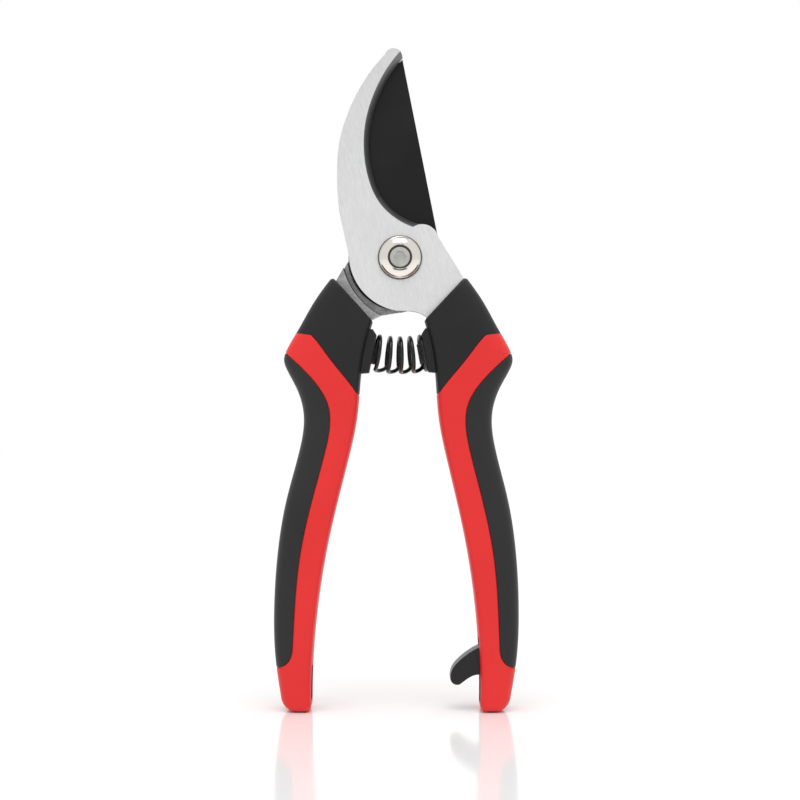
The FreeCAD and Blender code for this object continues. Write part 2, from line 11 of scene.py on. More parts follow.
import json
import logging
import math
from dataclasses import dataclass, field
from enum import Enum
from typing import Sequence

import bmesh
import bpy
import numpy as np
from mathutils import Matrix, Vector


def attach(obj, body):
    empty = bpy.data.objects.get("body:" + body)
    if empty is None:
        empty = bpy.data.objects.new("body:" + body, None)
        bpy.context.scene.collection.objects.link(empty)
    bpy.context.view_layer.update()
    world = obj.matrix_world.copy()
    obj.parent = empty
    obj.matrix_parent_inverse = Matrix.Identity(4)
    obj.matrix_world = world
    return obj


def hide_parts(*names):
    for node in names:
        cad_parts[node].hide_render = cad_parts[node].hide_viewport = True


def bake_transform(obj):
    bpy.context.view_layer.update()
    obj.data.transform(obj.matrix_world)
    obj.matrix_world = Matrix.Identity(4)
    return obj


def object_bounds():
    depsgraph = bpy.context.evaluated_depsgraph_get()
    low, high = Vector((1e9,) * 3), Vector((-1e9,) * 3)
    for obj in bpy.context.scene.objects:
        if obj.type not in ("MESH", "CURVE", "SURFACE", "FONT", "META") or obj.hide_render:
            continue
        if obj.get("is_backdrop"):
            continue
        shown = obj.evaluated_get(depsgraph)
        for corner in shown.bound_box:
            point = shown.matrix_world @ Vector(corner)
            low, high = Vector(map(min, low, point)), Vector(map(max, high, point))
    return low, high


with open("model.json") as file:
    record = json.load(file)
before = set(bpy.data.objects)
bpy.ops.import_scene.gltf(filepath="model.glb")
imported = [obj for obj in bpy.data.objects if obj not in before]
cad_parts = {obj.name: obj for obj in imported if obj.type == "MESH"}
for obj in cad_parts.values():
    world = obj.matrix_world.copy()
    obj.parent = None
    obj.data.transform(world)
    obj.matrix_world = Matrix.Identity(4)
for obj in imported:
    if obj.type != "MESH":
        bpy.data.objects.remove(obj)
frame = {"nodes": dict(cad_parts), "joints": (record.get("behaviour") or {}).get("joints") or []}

LOG = logging.getLogger("shears")
MM = 0.001
Points = Sequence[tuple[float, float]]
Colour = tuple[float, float, float]
PIVOT = next(joint for joint in frame["joints"] if joint["name"] == "pivot")["pos_m"]


class Side(Enum):
    """The two handles, by the sign of x on the side that they stand on."""

    RIGHT = 1
    LEFT = -1


class Body(Enum):
    """The bodies that the pieces built here ride on."""

    HOOK = "hook_side"
    BLADE = "blade_side"


# ------------------------------------------------------------------- shader graphs
@dataclass(frozen=True)
class Signal:
    """A number that varies over a surface, with arithmetic that adds Math nodes."""

    graph: Graph
    socket: bpy.types.NodeSocket

    def _math(self, operation: str, first: object, second: object) -> Signal:
        """A Math node on two values, of which either may be a Signal."""
        return self.graph.signal("ShaderNodeMath", {"operation": operation}, {0: first, 1: second})

    def __add__(self, other: object) -> Signal:
        """self + other."""
        return self._math("ADD", self, other)

    def __radd__(self, other: object) -> Signal:
        """other + self."""
        return self._math("ADD", other, self)

    def __sub__(self, other: object) -> Signal:
        """self - other."""
        return self._math("SUBTRACT", self, other)

    def __rsub__(self, other: object) -> Signal:
        """other - self."""
        return self._math("SUBTRACT", other, self)

    def __mul__(self, other: object) -> Signal:
        """self * other."""
        return self._math("MULTIPLY", self, other)

    def __rmul__(self, other: object) -> Signal:
        """other * self."""
        return self._math("MULTIPLY", other, self)

    def __pow__(self, other: object) -> Signal:
        """self ** other."""
        return self._math("POWER", self, other)

    def __abs__(self) -> Signal:
        """The size of self without its sign."""
        return self._math("ABSOLUTE", self, 0.0)

    def step(self, low: float, high: float) -> Signal:
        """A smooth step of self from 0 at low to 1 at high.

        Args:
            low: The value that gives 0.
            high: The value that gives 1.

        Returns:
            The stepped signal.
        """
        settings = {"interpolation_type": "SMOOTHSTEP"}
        values = {0: self, 1: low, 2: high, 3: 0.0, 4: 1.0}
        return self.graph.signal("ShaderNodeMapRange", settings, values)


class Graph:
    """The node tree of one material, around its Principled shader."""

    def __init__(self, name: str) -> None:
        """Start an empty material.

        Args:
            name: The material's name.
        """
        self.material = bpy.data.materials.new(name)
        self.material.use_nodes = True
        self.nodes = self.material.node_tree.nodes
        self.links = self.material.node_tree.links
        self.nodes.clear()
        self.shader = self.nodes.new("ShaderNodeBsdfPrincipled")
        output = self.nodes.new("ShaderNodeOutputMaterial")
        self.links.new(self.shader.outputs[0], output.inputs[0])
        self.place = self.output("ShaderNodeTexCoord", {}, {}, "Object")

    def node(self, kind: str, settings: dict, values: dict) -> bpy.types.Node:
        """Make a node, its settings first and then its sockets.

        Args:
            kind: The node's type.
            settings: Properties of the node.
            values: Numbers, colours or links by socket name or number.

        Returns:
            The node.
        """
        made = self.nodes.new(kind)
        for name, setting in settings.items():
            setattr(made, name, setting)
        for name, value in values.items():
            self.feed(made.inputs[name], value)
        return made

    def feed(self, socket: bpy.types.NodeSocket, value: object) -> None:
        """Set a socket, or link it where the value is a Signal or a socket.

        Args:
            socket: The input socket.
            value: A number, a colour, a vector, a Signal or an output socket.
        """
        if isinstance(value, Signal):
            self.links.new(value.socket, socket)
        elif isinstance(value, bpy.types.NodeSocket):
            self.links.new(value, socket)
        elif isinstance(value, tuple) and socket.type == "RGBA":
            socket.default_value = (*value, 1.0)
        else:
            socket.default_value = value

    def signal(self, kind: str, settings: dict, values: dict) -> Signal:
        """A node's first output as a Signal; the arguments are those of node()."""
        return Signal(self, self.node(kind, settings, values).outputs[0])

    def output(self, kind: str, settings: dict, values: dict, name: object) -> bpy.types.NodeSocket:
        """A node's output of that name; the other arguments are those of node()."""
        return self.node(kind, settings, values).outputs[name]

    def stretched(self, scale: Colour, turn: Colour = (0.0, 0.0, 0.0)) -> bpy.types.NodeSocket:
        """Object coordinates turned and then scaled, for grain that runs one way.

        Args:
            scale: The scale along each axis after the turn.
            turn: The turn about each axis, in radians.

        Returns:
            The vector socket.
        """
        turned = self.output("ShaderNodeMapping", {}, {"Vector": self.place, "Rotation": turn}, 0)
        return self.output("ShaderNodeMapping", {}, {"Vector": turned, "Scale": scale}, 0)

    def noise(
        self, scale: float, detail: float = 3.0, at: object = None, rough: float = 0.5
    ) -> Signal:
        """Fractal noise between 0 and 1.

        Args:
            scale: Lumps per metre.
            detail: Octaves.
            at: The vector that it reads, or None for Object coordinates.
            rough: How strong the fine octaves are.

        Returns:
            The noise.
        """
        values = {"Vector": at or self.place, "Scale": scale, "Detail": detail, "Roughness": rough}
        return self.signal("ShaderNodeTexNoise", {}, values)

    def pits(self, scale: float, at: object = None) -> Signal:
        """Distance to the nearest of scattered points, for grain and pitting.

        Args:
            scale: Points per metre.
            at: The vector that it reads, or None for Object coordinates.

        Returns:
            The distance, about 0 to 1.
        """
        return self.signal("ShaderNodeTexVoronoi", {}, {"Vector": at or self.place, "Scale": scale})

    def blend(self, factor: object, low: object, high: object) -> bpy.types.NodeSocket:
        """A colour between two colours.

        Args:
            factor: 0 gives low and 1 gives high.
            low: A colour or colour socket.
            high: A colour or colour socket.

        Returns:
            The colour socket.
        """
        values = {"Factor": factor, 6: low, 7: high}
        return self.output("ShaderNodeMix", {"data_type": "RGBA"}, values, 2)

    def facing(self, direction: Colour) -> Signal:
        """The surface normal's share along a direction of the piece itself.

        Args:
            direction: A unit vector in the piece's own frame.

        Returns:
            The dot product.
        """
        normal = self.output("ShaderNodeTexCoord", {}, {}, "Normal")
        settings = {"operation": "DOT_PRODUCT"}
        product = self.node("ShaderNodeVectorMath", settings, {0: normal, 1: direction})
        return Signal(self, product.outputs["Value"])

    def from_axis(self, across: float, up: float) -> Signal:
        """The distance from an axis along Y: sqrt((x - across)^2 + (z - up)^2).

        Args:
            across: The axis' x, in metres.
            up: The axis' z, in metres.

        Returns:
            The distance in metres.
        """
        parts = self.node("ShaderNodeSeparateXYZ", {}, {0: self.place}).outputs
        wide, high = Signal(self, parts[0]) - across, Signal(self, parts[2]) - up
        return (wide * wide + high * high) ** 0.5

    def attribute(self, name: str) -> Signal:
        """A number that the mesh carries on its points."""
        return Signal(self, self.output("ShaderNodeAttribute", {"attribute_name": name}, {}, "Fac"))

    def bump(self, height: Signal, distance: float, strength: float = 1.0) -> bpy.types.NodeSocket:
        """A bumped normal.

        Args:
            height: The height signal.
            distance: The height of a full unit, in metres.
            strength: The share of the bump that shows.

        Returns:
            The normal socket.
        """
        values = {"Height": height, "Distance": distance, "Strength": strength}
        return self.output("ShaderNodeBump", {}, values, 0)

    def shade(self, **sockets: object) -> bpy.types.Material:
        """Set the Principled shader's sockets and hand over the material.

        Args:
            **sockets: Values by socket name, with an underscore for each space.

        Returns:
            The finished material.
        """
        for name, value in sockets.items():
            self.feed(self.shader.inputs[name.replace("_", " ")], value)
        return self.material


# ------------------------------------------------------------------------ finishes
@dataclass(frozen=True)
class Finish:
    """A surface finish that is made into a material once and then shared."""

    name: str

    def material(self) -> bpy.types.Material:
        """The finish's material, made when it is first asked for."""
        return bpy.data.materials.get(self.name) or self.paint(Graph(self.name))

    def paint(self, graph: Graph) -> bpy.types.Material:
        """Lay the finish down as shader nodes.

        Args:
            graph: The empty graph to build in.

        Returns:
            The finished material.
        """
        raise NotImplementedError


@dataclass(frozen=True)
class BrushedPlate(Finish):
    """Bright plate with fine brush lines; its ground bevel and edges get a painted dark reflection."""

    bright: Colour = (0.9, 0.9, 0.9)
    dull: Colour = (0.76, 0.76, 0.765)
    # Near-black colour of the painted dark reflection on the bevel and the edges.
    bevel: Colour = (0.11, 0.11, 0.115)
    lean: float = math.radians(15)

    def paint(self, graph: Graph) -> bpy.types.Material:
        """Long thin streaks along a leaning direction, and a painted dark reflection on every face
        that doesn't face front or back; see Finish.paint.
        """
        along = graph.stretched((1.0, 1.0, 0.06), (0.0, self.lean, 0.0))
        streaks = graph.noise(6500.0, 2.0, along, 0.6)
        broad = graph.noise(2600.0, 2.0, along, 0.5)
        cloud = graph.noise(60.0, 3.0)
        # Painted dark reflection: faces that don't face front or back, the bevel and the edges, are
        # darkened towards the bevel colour.
        side = abs(graph.facing((0.0, 1.0, 0.0)))
        edge = 1.0 - side.step(0.93, 0.99)
        tone = streaks * 0.6 + broad * 0.25 + cloud * 0.15
        face = graph.blend(tone.step(0.3, 0.7), self.dull, self.bright)
        colour = graph.blend(edge * 0.9, face, self.bevel)
        rough = 0.34 + streaks * 0.14 + edge * 0.06
        return graph.shade(
            Base_Color=colour,
            Metallic=1.0,
            Roughness=rough,
            Normal=graph.bump(streaks, 0.00002, 0.5),
        )


@dataclass(frozen=True)
class CoatedBlade(Finish):
    """Black non-stick coat, ground away to bright steel along the cutting edge."""

    coat: Colour = (0.007, 0.007, 0.007)
    worn: Colour = (0.012, 0.012, 0.012)
    steel: Colour = (0.74, 0.74, 0.75)

    def paint(self, graph: Graph) -> bpy.types.Material:
        """Coat with a fine orange peel, and grinding lines across the edge; see Finish.paint."""
        ground = graph.attribute("ground").step(0.4, 0.6)
        lines = graph.noise(4200.0, 2.0, graph.stretched((0.03, 1.0, 1.0), (0.0, 0.35, 0.0)), 0.6)
        peel = graph.noise(2400.0, 3.0)
        cloud = graph.noise(45.0, 4.0)
        black = graph.blend(cloud.step(0.35, 0.75), self.coat, self.worn)
        bright = graph.blend(lines, (0.5, 0.5, 0.51), self.steel)
        height = ground * lines + (1.0 - ground) * peel
        return graph.shade(
            Base_Color=graph.blend(ground, black, bright),
            Metallic=ground,
            Roughness=0.42 - ground * 0.14 + cloud * 0.1,
            Specular_IOR_Level=0.22,
            Normal=graph.bump(height, 0.00002, 0.4),
        )


@dataclass(frozen=True)
class ForgedPlate(Finish):
    """Blasted forging: mottled grey steel with shallow pits, and a line of painted shade at a step."""

    dark: Colour = (0.26, 0.26, 0.265)
    pale: Colour = (0.5, 0.5, 0.51)
    # Near-black colour of the thin line of painted shade along the step.
    step_shade_tint: Colour = (0.012, 0.012, 0.012)
    corner: tuple[float, float, float] = (0.0, 0.0, 16.0)
    shade_line_width: float = 0.0002

    def paint(self, graph: Graph) -> bpy.types.Material:
        """Two sizes of mottling over pits, and a line of painted shade along the step round a corner.

        The line is the points whose distance from the axis through the corner's
        centre is within half the line's width of its radius; see Finish.paint.
        """
        large = graph.noise(340.0, 4.0, None, 0.6)
        small = graph.noise(2100.0, 3.0, None, 0.6)
        pits = graph.pits(2300.0)
        tone = large * 0.5 + small * 0.5
        colour = graph.blend(tone.step(0.3, 0.7), self.dark, self.pale)
        # Painted shade: a thin near-black, non-metal line along the step round a corner.
        across, up, radius = self.corner
        off = abs(graph.from_axis(across, up) - radius)
        line = 1.0 - off.step(self.shade_line_width * 0.5, self.shade_line_width)
        height = small * 0.6 + pits * 0.4 + large * 0.3
        return graph.shade(
            Base_Color=graph.blend(line, colour, self.step_shade_tint),
            Metallic=0.9 - line * 0.9,
            Roughness=0.34 + small * 0.2,
            Normal=graph.bump(height, 0.00006, 0.6),
        )


@dataclass(frozen=True)
class PlatedSteel(Finish):
    """Turned and plated steel, from polished nickel to dull zinc."""

    tint: Colour = (0.78, 0.74, 0.68)
    shade_tint: Colour = (0.6, 0.56, 0.5)
    rough: float = 0.12

    def paint(self, graph: Graph) -> bpy.types.Material:
        """Plating with a faint cloud and hair scratches; see Finish.paint."""
        cloud = graph.noise(420.0, 3.0)
        scratches = graph.noise(2600.0, 2.0, graph.stretched((1.0, 1.0, 0.12), (0.0, 0.9, 0.0)))
        colour = graph.blend(cloud.step(0.3, 0.8), self.tint, self.shade_tint)
        return graph.shade(
            Base_Color=colour,
            Metallic=1.0,
            Roughness=self.rough + scratches * 0.1,
            Normal=graph.bump(scratches, 0.000008, 0.5),
        )


@dataclass(frozen=True)
class PivotNut(Finish):
    """Polished nickel with a dull socket darkened as painted shade, and painted shade in its grooves.
    """

    tint: Colour = (0.78, 0.74, 0.68)
    # The socket's dull plating, darkened as painted shade of the recess.
    dull: Colour = (0.07, 0.065, 0.06)
    dull_pale: Colour = (0.22, 0.205, 0.19)
    # Near-black colour of the painted shade in the grooves.
    groove_shade_tint: Colour = (0.02, 0.018, 0.015)
    socket: float = 0.0024
    grooves: Points = ((0.00245, 0.0027), (0.0032, 0.0038), (0.00665, 0.0075))
    blur: float = 0.00012

    def paint(self, graph: Graph) -> bpy.types.Material:
        """Rings about the pivot's axis, each between two distances from it; see Finish.paint."""
        far = graph.from_axis(PIVOT[0], PIVOT[2])
        inside = 1.0 - far.step(self.socket, self.socket + self.blur)
        mottle = graph.noise(1500.0, 4.0, None, 0.7)
        scratches = graph.noise(2600.0, 2.0, graph.stretched((1.0, 1.0, 0.12), (0.0, 0.9, 0.0)))
        # Inside the socket the dull colour takes over, darkened as painted shade of the recess.
        base = graph.blend(mottle.step(0.3, 0.7), self.dull, self.dull_pale)
        colour = graph.blend(inside, self.tint, base)
        # Painted shade in the grooves, each a ring between two distances from the axis.
        groove_shade_mask: object = 0.0
        for inner, outer in self.grooves:
            beyond = far.step(outer, outer + self.blur)
            groove_shade_mask = groove_shade_mask + far.step(inner - self.blur, inner) * (1.0 - beyond)
        return graph.shade(
            Base_Color=graph.blend(groove_shade_mask * 0.9, colour, self.groove_shade_tint),
            Metallic=1.0,
            Roughness=0.1 + scratches * 0.08 + groove_shade_mask * 0.25 + inside * 0.2,
            Normal=graph.bump(scratches, 0.000008, 0.5),
        )


@dataclass(frozen=True)
class MouldedPlastic(Finish):
    """Moulded plastic or rubber with an eroded grain and rubbed edges."""

    tint: Colour = (0.7, 0.009, 0.008)
    pale: Colour = (0.76, 0.015, 0.013)
    rough: float = 0.42
    grain: float = 1800.0
    relief: float = 0.00003
    specular: float = 0.5
    sheen: float = 0.0

    def paint(self, graph: Graph) -> bpy.types.Material:
        """Grain bump under a slow drift of colour and gloss; see Finish.paint."""
        drift = graph.noise(38.0, 3.0)
        speckle = graph.noise(self.grain * 1.7, 2.0)
        grain = graph.pits(self.grain) * 0.6 + graph.noise(self.grain, 3.0) * 0.6
        mixed = drift.step(0.3, 0.75) * 0.7 + speckle * 0.3
        return graph.shade(
            Base_Color=graph.blend(mixed, self.tint, self.pale),
            Roughness=self.rough + drift * 0.08 + speckle * 0.06,
            Specular_IOR_Level=self.specular,
            Sheen_Weight=self.sheen,
            Sheen_Roughness=0.4,
            Normal=graph.bump(grain, self.relief, 0.8),
        )


@dataclass(frozen=True)
class BlackenedMetal(Finish):
    """Blackened or lacquered steel, rubbed a little paler in places."""

    tint: Colour = (0.006, 0.006, 0.006)
    pale: Colour = (0.016, 0.016, 0.017)
    rough: float = 0.3
    coat: float = 0.12

    def paint(self, graph: Graph) -> bpy.types.Material:
        """Dark lacquer over a rolled skin; see Finish.paint."""
        skin = graph.noise(1400.0, 3.0)
        rub = graph.noise(170.0, 4.0)
        return graph.shade(
            Base_Color=graph.blend(rub.step(0.45, 0.8), self.tint, self.pale),
            Roughness=self.rough + skin * 0.12,
            Specular_IOR_Level=0.3,
            Coat_Weight=self.coat,
            Coat_Roughness=0.15,
            Normal=graph.bump(skin, 0.00002, 0.5),
        )


@dataclass(frozen=True)
class StudioFloor(Finish):
    """White glazed board, a little uneven in its gloss."""

    def paint(self, graph: Graph) -> bpy.types.Material:
        """White with a soft gloss; see Finish.paint."""
        drift = graph.noise(3.0, 2.0)
        return graph.shade(
            Base_Color=graph.blend(drift, (0.93, 0.93, 0.93), (0.95, 0.95, 0.95)),
            Roughness=0.1 + drift * 0.02,
            Specular_IOR_Level=0.3,
        )


BRUSHED = BrushedPlate("Brushed plate")
BLADE_COAT = CoatedBlade("Coated blade")
# The corner's centre and radius set where the carrier's line of painted shade runs.
FORGED = ForgedPlate("Forged plate", corner=(PIVOT[0] + 0.00497, PIVOT[2] + 0.00272, 0.02362))
NICKEL = PivotNut("Polished nickel")
ZINC = PlatedSteel("Zinc plate", (0.6, 0.59, 0.57), (0.46, 0.45, 0.43), 0.26)
BRONZE = PlatedSteel("Sintered bronze", (0.62, 0.43, 0.22), (0.42, 0.28, 0.14), 0.38)
PIN_STEEL = PlatedSteel("Turned pin", (0.55, 0.55, 0.55), (0.38, 0.38, 0.38), 0.24)
RED_NYLON = MouldedPlastic("Red nylon")
COLLAR_PLASTIC = MouldedPlastic(
    "Grained black plastic",
    tint=(0.006, 0.006, 0.006),
    pale=(0.011, 0.011, 0.011),
    rough=0.48,
    grain=1500.0,
    relief=0.00006,
    specular=0.36,
)
GRIP_RUBBER = MouldedPlastic(
    "Soft black rubber",
    tint=(0.01, 0.01, 0.01),
    pale=(0.015, 0.015, 0.015),
    rough=0.52,
    grain=2600.0,
    relief=0.00004,
    specular=0.4,
    sheen=0.05,
)
BLACK_SHEET = BlackenedMetal("Blackened sheet")
SPRING_WIRE = BlackenedMetal("Spring wire", (0.004, 0.004, 0.004), (0.009, 0.009, 0.009), 0.24, 0.3)
FLOOR = StudioFloor("Studio floor")
CARD = BlackenedMetal("Dark card")


# ---------------------------------------------------------------------- geometry
def through(knots: Points, count: int) -> np.ndarray:
    """Points along the smooth curve through some knots.

    A natural cubic spline on chord length: on each span the curve is the cubic that
    meets both knots with second derivatives that solve the usual tridiagonal system.

    Args:
        knots: The points that the curve goes through.
        count: How many points to return, evenly spaced in chord length.

    Returns:
        An array of count points.
    """
    knot = np.array(knots, float)
    reach = np.concatenate([[0.0], np.cumsum(np.linalg.norm(np.diff(knot, axis=0), axis=1))])
    span = np.diff(reach)
    size = len(knot)
    system = np.eye(size)
    pull = np.zeros_like(knot)
    inner = np.arange(1, size - 1)
    system[inner, inner - 1] = span[:-1]
    system[inner, inner] = 2 * (span[:-1] + span[1:])
    system[inner, inner + 1] = span[1:]
    slope = np.diff(knot, axis=0) / span[:, None]
    pull[1:-1] = 6 * np.diff(slope, axis=0)
    bend = np.linalg.solve(system, pull)
    where = np.linspace(0.0, reach[-1], count)
    at = np.clip(np.searchsorted(reach, where, side="right") - 1, 0, size - 2)
    left, right = (where - reach[at])[:, None], (reach[at + 1] - where)[:, None]
    width = span[at][:, None]
    curve = (bend[at] * right**3 + bend[at + 1] * left**3) / (6 * width)
    curve += (knot[at] / width - bend[at] * width / 6) * right
    return curve + (knot[at + 1] / width - bend[at + 1] * width / 6) * left


def arc(
    start: tuple[float, float], via: tuple[float, float], end: tuple[float, float], count: int
) -> np.ndarray:
    """Points along the circular arc through three points.

    The centre solves the two equations that set its distances to the points equal.

    Args:
        start: The first point.
        via: A point on the way.
        end: The last point.
        count: How many points to return.

    Returns:
        An array of count points.
    """
    first, middle, last = np.array(start), np.array(via), np.array(end)
    lines = 2 * np.array([middle - first, last - first])
    sums = np.array([middle @ middle - first @ first, last @ last - first @ first])
    centre = np.linalg.solve(lines, sums)
    radius = np.linalg.norm(first - centre)
    angles = [math.atan2(*(point - centre)[::-1]) for point in (first, middle, last)]
    turn = (angles[2] - angles[0]) % math.tau
    if (angles[1] - angles[0]) % math.tau > turn:
        turn -= math.tau
    swept = angles[0] + np.linspace(0.0, turn, count)
    return centre + radius * np.stack([np.cos(swept), np.sin(swept)], axis=1)


def even(path: np.ndarray, count: int) -> np.ndarray:
    """The same path with its points evenly spaced along its length."""
    reach = np.concatenate([[0.0], np.cumsum(np.linalg.norm(np.diff(path, axis=0), axis=1))])
    where = np.linspace(0.0, reach[-1], count)
    return np.stack([np.interp(where, reach, column) for column in path.T], axis=1)


def at_height(path: np.ndarray, height: np.ndarray) -> np.ndarray:
    """The points of a falling path at some heights, by straight runs between its points."""
    return np.stack([np.interp(-height, -path[:, 1], path[:, 0]), height], axis=1)


def grid_faces(
    rows: int, columns: int, row_loop: bool = False, column_loop: bool = False
) -> np.ndarray:
    """The triangles of a grid of points, two to a cell.

    Args:
        rows: Rows of points.
        columns: Points in a row.
        row_loop: Whether the last row joins the first.
        column_loop: Whether each row's last point joins its first.

    Returns:
        An array of point numbers, three to a triangle.
    """
    spans = np.arange(rows - (not row_loop)), np.arange(columns - (not column_loop))
    down, across = [number.ravel() for number in np.meshgrid(*spans, indexing="ij")]
    below, beside = (down + 1) % rows, (across + 1) % columns
    one, two = down * columns + across, below * columns + across
    three, four = below * columns + beside, down * columns + beside
    return np.concatenate([np.stack([one, two, three], 1), np.stack([one, three, four], 1)])


def gap_to(path: np.ndarray, grid: np.ndarray) -> np.ndarray:
    """The distance of each grid point to a path, by its nearest run.

    On the run from a to b the nearest point is a + t(b - a), where t is the share
    of the point's way along the run, held between 0 and 1.

    Args:
        path: The points of the path.
        grid: A grid of points, rows by columns by three.

    Returns:
        Distances, rows by columns.
    """
    start, run = path[:-1], np.diff(path, axis=0)
    square = np.maximum((run * run).sum(1), 1e-12)
    best = np.full(grid.shape[:2], np.inf)
    for column in range(grid.shape[1]):
        offset = grid[:, column, None, :] - start
        share = np.clip((offset * run).sum(2) / square, 0.0, 1.0)
        best[:, column] = np.linalg.norm(offset - share[:, :, None] * run, axis=2).min(1)
    return best


def to_frame(points: np.ndarray, side: Side = Side.RIGHT) -> np.ndarray:
    """Drawn points (x, y, depth, in millimetres) in the row frame, in metres.

    The right side is lifted to the pivot.  The left side is mirrored, swung out
    about the pivot and let down until its foot is on the floor.

    Args:
        points: Drawn points; the last axis holds x, y and depth.
        side: The side that they belong to.

    Returns:
        Points in the row frame.
    """
    pivot = np.array(PIVOT)
    across, up, depth = points[..., 0], points[..., 1], points[..., 2]
    if side is Side.RIGHT:
        return pivot + MM * np.stack([across, -depth, up], axis=-1)
    turn = math.radians(HANDLE_SPLAY)
    swung_x = -across * math.cos(turn) + up * math.sin(turn)
    swung_z = across * math.sin(turn) + up * math.cos(turn)
    foot = FOOT_INNER[0] * math.sin(turn) + FOOT_INNER[1] * math.cos(turn)
    base = np.array([pivot[0] - MM * LEFT_OFFSET, pivot[1], -MM * foot])
    return base + MM * np.stack([swung_x, -depth, swung_z], axis=-1)


WELD_GAP = 2e-7


def make_piece(
    name: str,
    points: np.ndarray,
    faces: np.ndarray,
    finish: Finish,
    ground: np.ndarray | None = None,
) -> bpy.types.Object:
    """A closed mesh piece at the origin, welded, with its faces turned outwards.

    Points that meet become one, triangles without area go, and so do two triangles
    that lie on each other and points that no triangle uses.

    Args:
        name: The piece's name.
        points: Its points in the row frame.
        faces: Its triangles.
        finish: Its finish.
        ground: A number for each point, kept with the mesh for the finish.

    Returns:
        The object.
    """
    flat = points.reshape(-1, 3)
    grain = np.round(flat / WELD_GAP).astype(np.int64)
    _, first, joined = np.unique(grain, axis=0, return_index=True, return_inverse=True)
    faces = joined.reshape(-1)[faces]
    faces = faces[(faces != np.roll(faces, 1, axis=1)).all(1)]
    corners = np.sort(faces, axis=1)
    _, number, count = np.unique(corners, axis=0, return_inverse=True, return_counts=True)
    faces = faces[count[number.reshape(-1)] == 1]
    used, faces = np.unique(faces, return_inverse=True)
    first, faces = first[used], faces.reshape(-1, 3)
    mesh = bpy.data.meshes.new(name)
    mesh.from_pydata(flat[first], [], faces)
    if ground is not None:
        layer = mesh.attributes.new("ground", "FLOAT", "POINT")
        layer.data.foreach_set("value", ground.reshape(-1)[first])
    shell = bmesh.new()
    shell.from_mesh(mesh)
    bmesh.ops.recalc_face_normals(shell, faces=shell.faces)
    shell.to_mesh(mesh)
    shell.free()
    mesh.shade_smooth()
    mesh.set_sharp_from_angle(angle=math.radians(38))
    mesh.materials.append(finish.material())
    piece = bpy.data.objects.new(name, mesh)
    bpy.context.scene.collection.objects.link(piece)
    return piece


def report(piece: bpy.types.Object) -> None:
    """Log a finished piece with its number of faces."""
    LOG.info("%s: %d faces", piece.name, len(piece.data.polygons))


# ----------------------------------------------------------------------- handles
HANDLE_SPLAY = 0.85
LEFT_OFFSET = 0.6
COLLAR_OUTER = (20.9, -5.85)
COLLAR_INNER = (7.8, -19.8)
FOOT_OUTER = (31.0, -143.8)
FOOT_INNER = (27.4, -143.8)
SLOT_HEIGHTS = {Side.RIGHT: (-141.4, -120.6), Side.LEFT: (-140.4, -129.4)}


